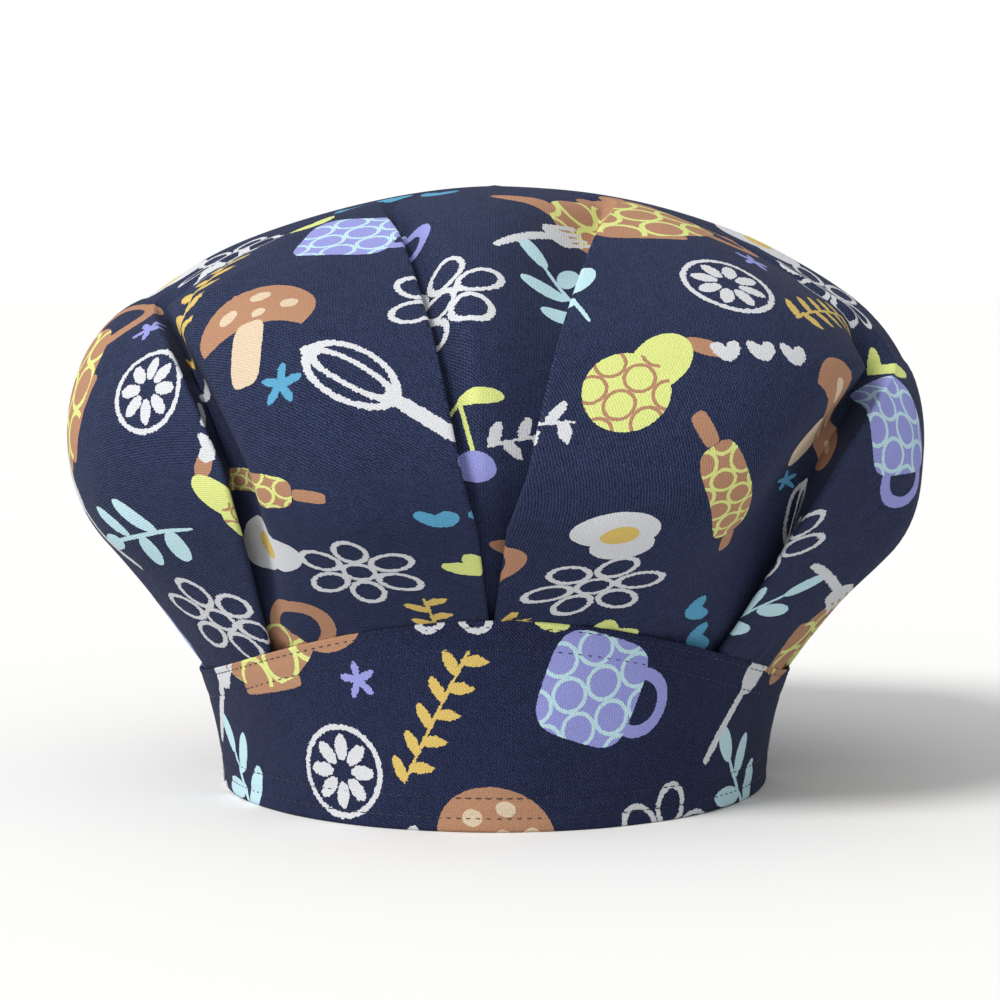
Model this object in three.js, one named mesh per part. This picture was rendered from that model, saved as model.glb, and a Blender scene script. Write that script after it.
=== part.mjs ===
// Kitchen cap: a shaped head band with a full crown, one round of cloth pleated into it.
// Millimetres, +Z up. The front faces -Y, and the cap stands on the rim of its band at z = 0.
import * as THREE from "three";

const degree = Math.PI / 180;

// Cloth and seams
const crownWall = 1.2;
const bandWall = 2;
const seamGap = 0.35; // air between the crown's edge and the band that holds it
const seamAllowance = 9; // how far the crown's edge goes down inside the band

// Head band: an oval ring that flares a little towards its top edge
const rimHalfWidth = 87.4;
const rimHalfDepth = 99;
const sideFlare = 7.8;
const frontFlare = 4;
const frontHeight = 63;
const sideHeight = 36.5;
const backHeight = 34;

// Crown, seen from the front: a dome, a shoulder, the widest ring, a tuck and a straight flank
const capHeight = 190;
const domeRadius = 195;
const domeAngle = 35 * degree;
const shoulderRadius = 57.5;
const tuckRadius = 48;
const tuckAngle = 36 * degree;
const frontPuff = 27; // how far the widest ring stands out past the band's top edge, in front
const backPuff = 37;

// Pleats, in order round the crown. An azimuth is 0 in front and grows towards +X.
// A fold runs over the crown in the direction "heading" (degrees) and passes the crown's middle at
// a distance (mm) that changes from the band through the flank and the widest ring to the top.
// "swing" limits how far it turns from its heading. "over" is the side whose panel lies on top,
// "depth" is the cloth folded under at the band, "hollow" is how far the lower panel sinks beside
// the fold, "rise" is the width over which it comes up level again, and "end" is how far from the
// crown's middle the fold fades out.
const foldColumns = [
  "heading", "band", "flank", "widest", "top", "swing", "over", "depth", "hollow", "rise", "end",
];
const pleats = [
  [-160, 0, 0, 0, 0, 40, -1, 18, 2, 26, 92],
  [-124, 0, 0, 0, 0, 40, -1, 18, 2, 26, 92],
  [-88, 0, -3, -8, -70, 18, -1, 18, 3, 26, 96],
  [0, -67.5, -75, -81, -162, 76, -1, 20, 8, 15, 106],
  [0, -1.8, -5, -9.5, -42.5, 58, -1, 20, 3, 13, 34],
  [0, 0.2, 4, 10, 46, 58, 1, 20, 4.5, 30, 34],
  [0, 68.5, 89.5, 104, 235, 76, 1, 22, 9, 40, 122],
  [85, 0, 3, 8, 70, 18, 1, 18, 8, 26, 96],
  [124, 0, 0, 0, 0, 40, 1, 18, 2, 26, 92],
  [160, 0, 0, 0, 0, 40, 1, 18, 2, 26, 92],
].map((row) => Object.fromEntries(row.map((value, k) => [foldColumns[k], value])));
const layerStep = 1.6; // centre to centre of two folded layers
const layerLean = 0.6; // extra room at the inner end of a fold
const openWidth = 2.2; // spacing of a fold's four lines where it has faded out
const openRadius = 60; // inside rings of this radius that spacing shrinks with the ring
const foldTaper = 1.3; // the cloth folded under dwindles from the band to nothing by this power
const stepRun = 26; // cloth length over which a fold rises from nothing to its full step
const billow = 0.05; // swelling of a panel, as a share of its width
const pressedRun = 75; // cloth length above the band over which panels are still pulled flat
const topRun = 95; // round the crown's middle, the panels run out into one smooth top

// Soft dents and swells: place (azimuth, distance from the middle), size across and along, height
const dents = [
  { azimuth: -80, reach: 61, across: 60, along: 45, height: -1.7 },
  { azimuth: -84, reach: 118, across: 46, along: 19, height: -2 },
  { azimuth: -46, reach: 84, across: 24, along: 16, height: -1.5 },
  { azimuth: -88, reach: 214, across: 40, along: 34, height: -3 },
  { azimuth: 65, reach: 208, across: 12, along: 22, height: 2.5 },
  { azimuth: 97, reach: 214, across: 28, along: 19, height: 2.5 },
];

// Mesh fineness
const panelShares = [0.06, 0.22, 0.41, 0.6, 0.79, 0.94];
const crownRows = 24;
const cornerLimit = 0.8; // keeps the wall from growing long points at sharp corners
const bandColumns = 64;
const bandRows = 4;

const mix = (a, b, t) => a + (b - a) * t;

function smooth(t) {
  const c = Math.min(Math.max(t, 0), 1);
  return c * c * (3 - 2 * c);
}

// ---- head band ----

function bandTop(azimuth) {
  const c = Math.cos(azimuth);
  return mix(sideHeight, c > 0 ? frontHeight : backHeight, c * c);
}

// Point of the band's outer face, moved inwards by "inset".
function bandPoint(azimuth, z, inset) {
  const share = Math.max(z / bandTop(azimuth), 0);
  const halfWidth = rimHalfWidth + sideFlare * share ** 2 - inset;
  const halfDepth = rimHalfDepth + frontFlare * share ** 2 - inset;
  return new THREE.Vector3(halfWidth * Math.sin(azimuth), -halfDepth * Math.cos(azimuth), z);
}

// ---- crown, without its folds ----

const domeLength = domeRadius * domeAngle;
const widestReach = domeLength + shoulderRadius * (Math.PI / 2 - domeAngle);
const flankReach = widestReach + tuckRadius * tuckAngle;
const shoulderTop = capHeight - domeRadius * (1 - Math.cos(domeAngle));
const widestHeight = shoulderTop - shoulderRadius * Math.cos(domeAngle);
const widestHalfWidth = domeRadius * Math.sin(domeAngle) + shoulderRadius * (1 - Math.sin(domeAngle));
const flankTop = widestHeight - tuckRadius * Math.sin(tuckAngle);
const flankHalfWidth = widestHalfWidth - tuckRadius * (1 - Math.cos(tuckAngle));
const seamReach = flankReach + (flankTop - sideHeight) / Math.cos(tuckAngle);
const bandBevel = bandWall / Math.tan(tuckAngle); // the band's top edge slopes with the flank
const entryInset = (seamGap + crownWall / 2) / Math.cos(tuckAngle);
const entryHalfWidth = rimHalfWidth + sideFlare - entryInset;
const entryHalfDepth = rimHalfDepth + frontFlare - entryInset;

// The crown's side profile at a cloth distance "reach" from its middle: half width, height, and
// how far the cloth's outward normal leans from straight up.
function sideProfile(reach) {
  if (reach < domeLength) {
    const lean = reach / domeRadius;
    const height = capHeight - domeRadius * (1 - Math.cos(lean));
    return { halfWidth: domeRadius * Math.sin(lean), height, lean };
  }
  if (reach < widestReach) {
    const lean = domeAngle + (reach - domeLength) / shoulderRadius;
    const halfWidth = widestHalfWidth - shoulderRadius * (1 - Math.sin(lean));
    return { halfWidth, height: widestHeight + shoulderRadius * Math.cos(lean), lean };
  }
  if (reach < flankReach) {
    const turned = (reach - widestReach) / tuckRadius;
    const halfWidth = widestHalfWidth - tuckRadius * (1 - Math.cos(turned));
    const height = widestHeight - tuckRadius * Math.sin(turned);
    return { halfWidth, height, lean: Math.PI / 2 + turned };
  }
  const down = Math.min((reach - flankReach) / (seamReach - flankReach), 1);
  const halfWidth = mix(flankHalfWidth, entryHalfWidth, down);
  return { halfWidth, height: mix(flankTop, sideHeight, down), lean: Math.PI / 2 + tuckAngle };
}

// The crown's ring at an azimuth. Above the widest ring it is the side profile, made deeper or
// shallower, and below it the profile is stretched to meet the band's shaped top edge.
function crownRing(azimuth, reach) {
  const side = sideProfile(reach);
  const widestHalfDepth = entryHalfDepth + (Math.cos(azimuth) > 0 ? frontPuff : backPuff);
  if (reach <= widestReach) {
    return { ...side, halfDepth: (side.halfWidth * widestHalfDepth) / widestHalfWidth };
  }
  const out = (side.halfWidth - entryHalfWidth) / (widestHalfWidth - entryHalfWidth);
  const up = (side.height - sideHeight) / (widestHeight - sideHeight);
  const halfDepth = mix(entryHalfDepth, widestHalfDepth, out);
  return { ...side, halfDepth, height: mix(bandTop(azimuth), widestHeight, up) };
}

// Point of the crown, "out" mm outside its plain surface.
function crownPoint(azimuth, reach, out) {
  if (reach > seamReach) {
    const inset = bandWall + seamGap + crownWall / 2;
    return bandPoint(azimuth, bandTop(azimuth) - (reach - seamReach), inset - out);
  }
  const ring = crownRing(azimuth, reach);
  const across = ring.halfDepth * Math.sin(azimuth);
  const ahead = -ring.halfWidth * Math.cos(azimuth);
  const level = (out * Math.sin(ring.lean)) / Math.hypot(across, ahead);
  return new THREE.Vector3(
    ring.halfWidth * Math.sin(azimuth) + level * across,
    -ring.halfDepth * Math.cos(azimuth) + level * ahead,
    ring.height + out * Math.cos(ring.lean),
  );
}

// ---- pleats ----

// Mean radius of the crown's ring at a reach, which turns azimuths into lengths round it.
function ringRadius(reach) {
  const { halfWidth, halfDepth } = crownRing(0, reach);
  return (halfWidth + halfDepth) / 2;
}

function foldAzimuth(pleat, reach) {
  let miss = mix(pleat.top, pleat.widest, reach / widestReach);
  if (reach > widestReach) {
    miss = mix(pleat.widest, pleat.flank, (reach - widestReach) / (flankReach - widestReach));
  }
  if (reach > flankReach) {
    miss = mix(pleat.flank, pleat.band, Math.min((reach - flankReach) / (seamReach - flankReach), 1));
  }
  const share = Math.min(Math.max(miss / sideProfile(reach).halfWidth, -1), 1);
  const swing = pleat.swing * degree;
  return pleat.heading * degree + Math.min(Math.max(Math.asin(share), -swing), swing);
}

// State of one pleat at a reach: where its fold lies along the ring, how far it has stepped down
// and closed, and how much cloth is folded under.
function foldAt(pleat, reach) {
  const run = (reach - pleat.end) / (seamReach - pleat.end);
  const hollow = pleat.hollow * smooth((seamReach - reach) / pressedRun);
  return {
    over: pleat.over,
    rise: pleat.rise,
    along: ringRadius(reach) * foldAzimuth(pleat, reach),
    closed: smooth((reach - pleat.end - stepRun / 2) / stepRun),
    under: pleat.depth * Math.max(run, 0) ** foldTaper,
    drop: (2 * layerStep + layerLean + hollow) * smooth((reach - pleat.end) / stepRun),
    swell: billow * smooth((seamReach - reach) / pressedRun) * smooth(reach / topRun),
  };
}

function dentAt(azimuth, reach) {
  const radius = ringRadius(reach);
  let height = 0;
  for (const dent of dents) {
    const across = (radius * (azimuth - dent.azimuth * degree)) / dent.across;
    const along = (reach - dent.reach) / dent.along;
    height += dent.height * Math.exp(-across * across - along * along);
  }
  return height;
}

// Height of the panel between folds "a" and "b" at a place along the ring: it sinks beside a fold
// that it passes under, and swells a little between the two.
function panelLevel(a, b, along) {
  const width = Math.max(b.along - a.along, 0);
  const fromA = along - a.along;
  const fromB = b.along - along;
  const sinkA = a.over < 0 ? a.drop * (1 - smooth(fromA / a.rise)) : 0;
  const sinkB = b.over > 0 ? b.drop * (1 - smooth(fromB / b.rise)) : 0;
  const share = Math.min(Math.max(fromA / Math.max(width, 1), 0), 1);
  return a.swell * width * (Math.sin(Math.PI * share) ** 2 - 0.5) - Math.max(sinkA, sinkB);
}

// The four lines of a pleat in order round the ring: the lip, the lip's underside, the inner turn
// and the lower panel, or the same from the other side. "upperLevel" gives the upper panel's level.
function foldLines(fold, radius, upperLevel) {
  const lip = upperLevel(fold.along);
  const turn = Math.min(lip, upperLevel(fold.along + fold.over * fold.under)) - fold.drop;
  const closed = [
    { shift: 0, out: lip },
    { shift: 0, out: lip - layerStep },
    { shift: fold.under, out: turn + layerStep },
    { shift: fold.under, out: turn },
  ];
  const spacing = openWidth * Math.min(radius / openRadius, 1);
  const lines = closed.map(({ shift, out }, k) => ({
    along: fold.along + fold.over * mix((1.5 - k) * spacing, shift, fold.closed),
    out: mix(lip - (fold.drop * k) / 3, out, fold.closed),
  }));
  return fold.over < 0 ? lines : lines.reverse();
}

// Lines of the panel between two pleats. Where it still lies hidden under a fold, its level runs
// straight from the inner turn to the fold's edge.
function panelLines(a, b, start, end) {
  return panelShares.map((share) => {
    const along = mix(start.along, end.along, share);
    const level = panelLevel(a, b, along);
    const hiddenA = Math.max((a.along - along) / Math.max(a.along - start.along, 1e-6), 0);
    const hiddenB = Math.max((along - b.along) / Math.max(end.along - b.along, 1e-6), 0);
    if (a.over < 0 && hiddenA > 0) {
      return { along, out: mix(level, start.out, hiddenA) };
    }
    if (b.over > 0 && hiddenB > 0) {
      return { along, out: mix(level, end.out, hiddenB) };
    }
    return { along, out: level };
  });
}

// The crown's cloth all the way round at a reach, as { along, out } lines in order.
function ringLines(reach) {
  const radius = ringRadius(reach);
  const turn = 2 * Math.PI * radius;
  const folds = pleats.map((pleat) => foldAt(pleat, reach));
  const first = { ...folds[0], along: folds[0].along + turn };
  const last = { ...folds.at(-1), along: folds.at(-1).along - turn };
  const round = [last, ...folds, first];
  const blocks = folds.map((fold, i) => {
    const [a, b] = fold.over < 0 ? [round[i], fold] : [fold, round[i + 2]];
    return foldLines(fold, radius, (along) => panelLevel(a, b, along));
  });
  return folds.flatMap((fold, i) => {
    const next = round[i + 2];
    const nextBlock = blocks[(i + 1) % folds.length];
    const shift = next.along - folds[(i + 1) % folds.length].along;
    const end = { ...nextBlock[0], along: nextBlock[0].along + shift };
    return [...blocks[i], ...panelLines(fold, next, blocks[i].at(-1), end)];
  });
}

// Unit normals of a closed row of lines, lengthened at corners so that the wall stays as thick.
function mitres(lines, turn) {
  const count = lines.length;
  const normals = lines.map((line, k) => {
    const next = lines[(k + 1) % count];
    const step = next.along - line.along + (k === count - 1 ? turn : 0);
    const rise = next.out - line.out;
    const length = Math.hypot(step, rise);
    return { along: -rise / length, out: step / length };
  });
  return normals.map((after, k) => {
    const before = normals[(k + count - 1) % count];
    const scale = 1 / Math.max(1 + before.along * after.along + before.out * after.out, cornerLimit);
    return {
      along: (before.along + after.along) * scale,
      out: (before.out + after.out) * scale,
    };
  });
}

// ---- solids ----

// A closed solid from rings of points that all have the same count. Each four-sided cell is split
// along its shorter diagonal. The end rings meet each other, or are closed by one point each.
function skinRings(rings, startPoint, endPoint) {
  const columns = rings[0].length;
  const points = rings.flat();
  const faces = [];
  const joined = startPoint ? rings.length - 1 : rings.length;
  for (let r = 0; r < joined; r += 1) {
    for (let column = 0; column < columns; column += 1) {
      const next = (column + 1) % columns;
      const here = r * columns;
      const below = ((r + 1) % rings.length) * columns;
      const corners = [here + column, below + column, below + next, here + next];
      const falling = points[corners[0]].distanceTo(points[corners[2]]);
      const rising = points[corners[1]].distanceTo(points[corners[3]]);
      const [a, b, c, d] = falling <= rising ? corners : [...corners.slice(1), corners[0]];
      faces.push(a, b, c, a, c, d);
    }
  }
  if (startPoint) {
    const lastRing = (rings.length - 1) * columns;
    const start = points.push(startPoint) - 1;
    const end = points.push(endPoint) - 1;
    for (let column = 0; column < columns; column += 1) {
      const next = (column + 1) % columns;
      faces.push(start, column, next, end, lastRing + next, lastRing + column);
    }
  }
  const geometry = new THREE.BufferGeometry().setFromPoints(points);
  geometry.setIndex(faces);
  geometry.computeVertexNormals();
  return geometry;
}

function crownGeometry() {
  const reaches = [];
  for (let k = 1; k <= crownRows; k += 1) {
    reaches.push((seamReach * k) / crownRows);
  }
  reaches.push(seamReach + bandBevel, seamReach + seamAllowance);
  const outer = [];
  const inner = [];
  for (const reach of reaches) {
    const radius = ringRadius(reach);
    const lines = ringLines(reach);
    const normals = mitres(lines, 2 * Math.PI * radius);
    const skin = (side) =>
      lines.map((line, k) => {
        const azimuth = (line.along + side * normals[k].along) / radius;
        const out = line.out + side * normals[k].out + dentAt(azimuth, reach);
        return crownPoint(azimuth, reach, out);
      });
    outer.push(skin(crownWall / 2));
    inner.push(skin(-crownWall / 2));
  }
  const topOut = new THREE.Vector3(0, 0, capHeight + crownWall / 2);
  const topIn = new THREE.Vector3(0, 0, capHeight - crownWall / 2);
  return skinRings([...outer, ...inner.reverse()], topOut, topIn);
}

function bandGeometry() {
  const rings = [];
  for (const inside of [false, true]) {
    for (let k = 0; k <= bandRows; k += 1) {
      const share = inside ? k / bandRows : 1 - k / bandRows;
      const ring = [];
      for (let c = 0; c < bandColumns; c += 1) {
        const azimuth = (2 * Math.PI * c) / bandColumns;
        const top = bandTop(azimuth) - (inside ? bandBevel : 0);
        ring.push(bandPoint(azimuth, top * share, inside ? bandWall : 0));
      }
      rings.push(ring);
    }
  }
  return skinRings(rings);
}

const cloth = new THREE.MeshStandardMaterial({
  color: 0x2d3250,
  roughness: 0.85,
  metalness: 0,
  side: THREE.FrontSide,
});

const group = new THREE.Group();
for (const [name, geometry] of [["crown", crownGeometry()], ["band", bandGeometry()]]) {
  const mesh = new THREE.Mesh(geometry, cloth.clone());
  mesh.name = name;
  group.add(mesh);
}

// The origin goes under the middle of the whole cap, which stands further out behind than in front.
const middle = new THREE.Box3().setFromObject(group, true).getCenter(new THREE.Vector3());
group.position.set(-middle.x, -middle.y, 0);

export default group;
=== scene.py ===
import math

import bpy
import numpy as np
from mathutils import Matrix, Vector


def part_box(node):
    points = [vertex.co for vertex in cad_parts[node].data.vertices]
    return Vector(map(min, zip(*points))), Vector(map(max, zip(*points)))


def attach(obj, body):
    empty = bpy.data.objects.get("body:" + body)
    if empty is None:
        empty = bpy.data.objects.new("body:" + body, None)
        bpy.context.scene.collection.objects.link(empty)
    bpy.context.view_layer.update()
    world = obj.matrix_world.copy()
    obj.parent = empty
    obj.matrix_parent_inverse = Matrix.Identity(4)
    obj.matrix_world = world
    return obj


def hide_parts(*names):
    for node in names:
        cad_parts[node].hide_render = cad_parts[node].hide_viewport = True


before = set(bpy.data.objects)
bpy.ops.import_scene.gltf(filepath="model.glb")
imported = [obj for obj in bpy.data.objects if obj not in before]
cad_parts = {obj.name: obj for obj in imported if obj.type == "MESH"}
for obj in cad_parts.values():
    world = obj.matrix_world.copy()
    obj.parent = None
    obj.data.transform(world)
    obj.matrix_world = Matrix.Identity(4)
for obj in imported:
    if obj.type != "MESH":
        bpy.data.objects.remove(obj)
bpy.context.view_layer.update()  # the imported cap: crown and band, standing on the rim
mm = 0.001
degree = math.pi / 180
bandLow, bandHigh = (np.array(corner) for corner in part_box("band"))
middle = (bandLow + bandHigh) / 2 * (1, 1, 0)  # on the floor, in the middle of the head band

# Shape of the cap, in mm
capForm = {
    "rimHalfWidth": 87.4,
    "rimHalfDepth": 99.0,
    "sideFlare": 7.8,
    "frontFlare": 4.0,
    "frontHeight": 63.0,
    "sideHeight": 36.5,
    "backHeight": 34.0,
    "bandWall": 2.0,
    "capHeight": 190.0,
    "domeRadius": 195.0,
    "domeAngle": 35 * degree,
    "shoulderRadius": 57.5,
    "tuckRadius": 48.0,
    "tuckAngle": 36 * degree,
    "frontPuff": 27.0,
    "backPuff": 37.0,
    "seamInset": 1.05,  # the crown's cloth behind the band's top edge, along the slope
    "seamAllowance": 9.0,
    "hemInset": 2.5,  # the crown's edge inside the band
}

# A fold runs over the crown in the direction "heading" and passes the crown's middle at a distance
# that changes from the band through the flank and the widest ring to the top. "over" is the side
# of the upper panel, and the lower one sinks by "hollow" and comes up again over the width "rise".
pleatColumns = [
    "heading", "band", "flank", "widest", "top", "swing", "over", "depth", "hollow", "rise", "end",
]
pleatRows = [
    [-160, 0, 0, 0, 0, 40, -1, 18, 2, 26, 92],
    [-124, 0, 0, 0, 0, 40, -1, 18, 2, 26, 92],
    [-88, 0, -3, -8, -70, 18, -1, 18, 3, 26, 96],
    [0, -67.5, -75, -81, -162, 76, -1, 20, 8, 15, 106],
    [0, -1.8, -5, -9.5, -42.5, 58, -1, 20, 3, 13, 34],
    [0, 0.2, 4, 10, 46, 58, 1, 20, 4.5, 30, 34],
    [0, 68.5, 89.5, 104, 235, 76, 1, 22, 9, 40, 122],
    [85, 0, 3, 8, 70, 18, 1, 18, 8, 26, 96],
    [124, 0, 0, 0, 0, 40, 1, 18, 2, 26, 92],
    [160, 0, 0, 0, 0, 40, 1, 18, 2, 26, 92],
]
pleats = [dict(zip(pleatColumns, row)) for row in pleatRows]


def mix(a, b, t):  # a at t = 0, b at t = 1
    return a + (b - a) * t


def smooth(t):  # 3t^2 - 2t^3, flat below 0 and above 1
    c = np.clip(t, 0, 1)
    return c * c * (3 - 2 * c)


def bandTop(azimuth):  # side height + (front or back height - side height) * cos^2
    c = np.cos(azimuth)
    ahead = np.where(c > 0, capForm["frontHeight"], capForm["backHeight"])
    return mix(capForm["sideHeight"], ahead, c * c)


def ovalPoint(halfWidth, halfDepth, azimuth, height):  # (w sin a, -d cos a, h), azimuth 0 in front
    return np.stack(
        np.broadcast_arrays(halfWidth * np.sin(azimuth), -halfDepth * np.cos(azimuth), height), -1
    )


def bandPoint(azimuth, height, inset):  # rim oval + flare * (height / top)^2 - inset
    share = np.maximum(height / bandTop(azimuth), 0) ** 2
    halfWidth = capForm["rimHalfWidth"] + capForm["sideFlare"] * share - inset
    halfDepth = capForm["rimHalfDepth"] + capForm["frontFlare"] * share - inset
    return ovalPoint(halfWidth, halfDepth, azimuth, height)


# Cloth distances from the crown's middle to where the dome, the shoulder, the tuck and the flank end
domeReach = capForm["domeRadius"] * capForm["domeAngle"]
widestReach = domeReach + capForm["shoulderRadius"] * (math.pi / 2 - capForm["domeAngle"])
flankReach = widestReach + capForm["tuckRadius"] * capForm["tuckAngle"]
shoulderTop = capForm["capHeight"] - capForm["domeRadius"] * (1 - math.cos(capForm["domeAngle"]))
widestHeight = shoulderTop - capForm["shoulderRadius"] * math.cos(capForm["domeAngle"])
widestHalf = capForm["domeRadius"] * math.sin(capForm["domeAngle"]) + capForm["shoulderRadius"] * (
    1 - math.sin(capForm["domeAngle"])
)
flankTop = widestHeight - capForm["tuckRadius"] * math.sin(capForm["tuckAngle"])
flankHalf = widestHalf - capForm["tuckRadius"] * (1 - math.cos(capForm["tuckAngle"]))
seamReach = flankReach + (flankTop - capForm["sideHeight"]) / math.cos(capForm["tuckAngle"])
entryHalfWidth = capForm["rimHalfWidth"] + capForm["sideFlare"] - capForm["seamInset"]
entryHalfDepth = capForm["rimHalfDepth"] + capForm["frontFlare"] - capForm["seamInset"]
bandBevel = capForm["bandWall"] / math.tan(capForm["tuckAngle"])
rimRadius = (capForm["rimHalfWidth"] + capForm["rimHalfDepth"]) / 2


# Side profile at a cloth distance from the middle: a dome arc, a shoulder arc, a tuck arc turning
# back in, then a straight flank. Gives half width, height and the lean of the cloth's normal.
def sideProfile(reach):
    f = capForm
    onDome = reach / f["domeRadius"]
    onShoulder = f["domeAngle"] + (reach - domeReach) / f["shoulderRadius"]
    onTuck = (reach - widestReach) / f["tuckRadius"]
    onFlank = np.minimum((reach - flankReach) / (seamReach - flankReach), 1)
    parts = [reach < domeReach, reach < widestReach, reach < flankReach]
    half = np.select(parts, [
        f["domeRadius"] * np.sin(onDome),
        widestHalf - f["shoulderRadius"] * (1 - np.sin(onShoulder)),
        widestHalf - f["tuckRadius"] * (1 - np.cos(onTuck)),
    ], mix(flankHalf, entryHalfWidth, onFlank))
    height = np.select(parts, [
        f["capHeight"] - f["domeRadius"] * (1 - np.cos(onDome)),
        widestHeight + f["shoulderRadius"] * np.cos(onShoulder),
        widestHeight - f["tuckRadius"] * np.sin(onTuck),
    ], mix(flankTop, f["sideHeight"], onFlank))
    turned = [onDome, onShoulder, math.pi / 2 + onTuck]
    return half, height, np.select(parts, turned, math.pi / 2 + f["tuckAngle"])


# Point of the crown "out" mm outside its plain surface. Above the widest ring the profile is made
# deeper or shallower, below it it is stretched to the band's top edge, and past it, it is the hem.
def crownPoint(azimuth, reach, out):
    half, height, lean = sideProfile(reach)
    puff = np.where(np.cos(azimuth) > 0, capForm["frontPuff"], capForm["backPuff"])
    above = reach <= widestReach
    spread = (half - entryHalfWidth) / (widestHalf - entryHalfWidth)
    depth = np.where(
        above,
        half * (entryHalfDepth + puff) / widestHalf,
        mix(entryHalfDepth, entryHalfDepth + puff, spread),
    )
    rise = (height - capForm["sideHeight"]) / (widestHeight - capForm["sideHeight"])
    height = np.where(above, height, mix(bandTop(azimuth), widestHeight, rise))
    across, ahead = depth * np.sin(azimuth), -half * np.cos(azimuth)
    level = out * np.sin(lean) / np.maximum(np.hypot(across, ahead), 1e-6)
    body = ovalPoint(half, depth, azimuth, height + out * np.cos(lean))
    body[..., 0] += level * across
    body[..., 1] += level * ahead
    down = reach - seamReach
    inset = mix(capForm["seamInset"], capForm["hemInset"], smooth(down / bandBevel))
    hem = bandPoint(azimuth, bandTop(azimuth) - down, inset - out)
    return np.where((reach > seamReach)[..., None], hem, body)


def ringRadius(reach):  # mean radius of the crown's ring, which turns azimuths into lengths
    half = sideProfile(reach)[0]
    spread = (half - entryHalfWidth) / (widestHalf - entryHalfWidth)
    below = mix(entryHalfDepth, entryHalfDepth + capForm["frontPuff"], spread)
    above = half * (entryHalfDepth + capForm["frontPuff"]) / widestHalf
    return (half + np.where(reach <= widestReach, above, below)) / 2


def toFrame(points):  # mm round the band's middle, to metres in the frame
    return points * mm + middle


# A mesh from vertices and blocks of faces, one UV per vertex, smooth shaded, at the origin.
def makeMesh(name, points, blocks, uv, materials):
    mesh = bpy.data.meshes.new(name)
    flat = np.concatenate([block.ravel() for block in blocks])
    counts = np.concatenate([np.full(len(block), block.shape[1]) for block in blocks])
    mesh.vertices.add(len(points))
    mesh.vertices.foreach_set("co", np.ascontiguousarray(points, np.float32).ravel())
    mesh.loops.add(len(flat))
    mesh.loops.foreach_set("vertex_index", flat.astype(np.int32))
    mesh.polygons.add(len(counts))
    mesh.polygons.foreach_set("loop_start", np.r_[0, np.cumsum(counts)[:-1]].astype(np.int32))
    mesh.update(calc_edges=True)
    mesh.validate()
    layer = mesh.uv_layers.new(name="cloth")
    layer.data.foreach_set("uv", np.ascontiguousarray(uv[flat], np.float32).ravel())
    mesh.polygons.foreach_set("use_smooth", np.ones(len(counts), bool))
    for material in materials:
        mesh.materials.append(material)
    piece = bpy.data.objects.new(name, mesh)
    bpy.context.scene.collection.objects.link(piece)
    return piece


def gridFaces(rows, columns, closedRows, closedColumns):  # quads of a grid, each way open or closed
    r = np.arange(rows if closedRows else rows - 1)[:, None]
    c = np.arange(columns if closedColumns else columns - 1)[None, :]
    down, right = (r + 1) % rows, (c + 1) % columns
    corners = [r * columns + c, down * columns + c, down * columns + right, r * columns + right]
    return np.stack(np.broadcast_arrays(*corners), -1).reshape(-1, 4)


# The crown's cloth: how it is folded, how fine its mesh is, and its small unevenness, in mm
crownCloth = {
    "thickness": 0.5,
    "lipRadius": 0.75,
    "layerStep": 1.6,
    "layerLean": 0.6,
    "openWidth": 2.2,
    "openRadius": 60.0,
    "stepRun": 26.0,
    "billow": 0.05,
    "pressedRun": 75.0,
    "topRun": 95.0,
    "taper": 1.3,
    "panelColumns": 30,
    "bodyRows": 84,
    "seamRows": 20,
    "seamZone": 32.0,
    "poleGap": 2.5,
    "hemRow": 6.0,  # a row of the hem between the band's bevel and the edge
    "puckerHeight": 0.3,
    "puckerRun": 9.0,
    "ripples": [(83, 1.0, 0.0), (57, 0.7, 1.3), (131, 0.5, 4.0)],  # waves round, share, phase
    "wrinkles": 60,
    "wrinkleReach": (0.35, 1.0),  # share of the cloth's length from the middle to the seam
    "wrinkleShare": (0.35, 1.0),  # of the height
    "wrinkleHeight": 0.7,
    "wrinkleWidth": (4, 11),
    "wrinkleLength": (16, 48),
    "wrinkleLean": 0.35,  # radians from straight up
    "flat": 0.533,  # metres across the round it is cut from
}

# Soft dents and swells: place (azimuth, distance from the middle), size across and along, height
dents = [
    {"azimuth": -80, "reach": 61, "across": 60, "along": 45, "height": -1.7},
    {"azimuth": -84, "reach": 118, "across": 46, "along": 19, "height": -2},
    {"azimuth": -46, "reach": 84, "across": 24, "along": 16, "height": -1.5},
    {"azimuth": -88, "reach": 214, "across": 40, "along": 34, "height": -3},
    {"azimuth": 67, "reach": 200, "across": 13, "along": 27, "height": 3.8},
    {"azimuth": 90, "reach": 210, "across": 24, "along": 20, "height": 3},
]


# State of a pleat at each reach: where it runs, how far it has stepped down and closed, and how
# much cloth is folded under, depth * run^taper.
def foldAt(pleat, reach):
    c = crownCloth
    stops = [0, widestReach, flankReach, seamReach]
    miss = np.interp(reach, stops, [pleat[k] for k in ("top", "widest", "flank", "band")])
    swing = pleat["swing"] * degree
    turned = np.arcsin(np.clip(miss / np.maximum(sideProfile(reach)[0], 1e-6), -1, 1))
    azimuth = pleat["heading"] * degree + np.clip(turned, -swing, swing)
    run = np.maximum((reach - pleat["end"]) / (seamReach - pleat["end"]), 0)
    pressed = smooth((seamReach - reach) / c["pressedRun"])
    step = 2 * c["layerStep"] + c["layerLean"] + pleat["hollow"] * pressed
    return {
        "over": pleat["over"],
        "rise": pleat["rise"],
        "along": ringRadius(reach) * azimuth,
        "closed": smooth((reach - pleat["end"] - c["stepRun"] / 2) / c["stepRun"])[:, None],
        "under": (pleat["depth"] * run ** c["taper"])[:, None],
        "drop": (step * smooth((reach - pleat["end"]) / c["stepRun"]))[:, None],
        "swell": (c["billow"] * pressed * smooth(reach / c["topRun"]))[:, None],
    }


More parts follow.
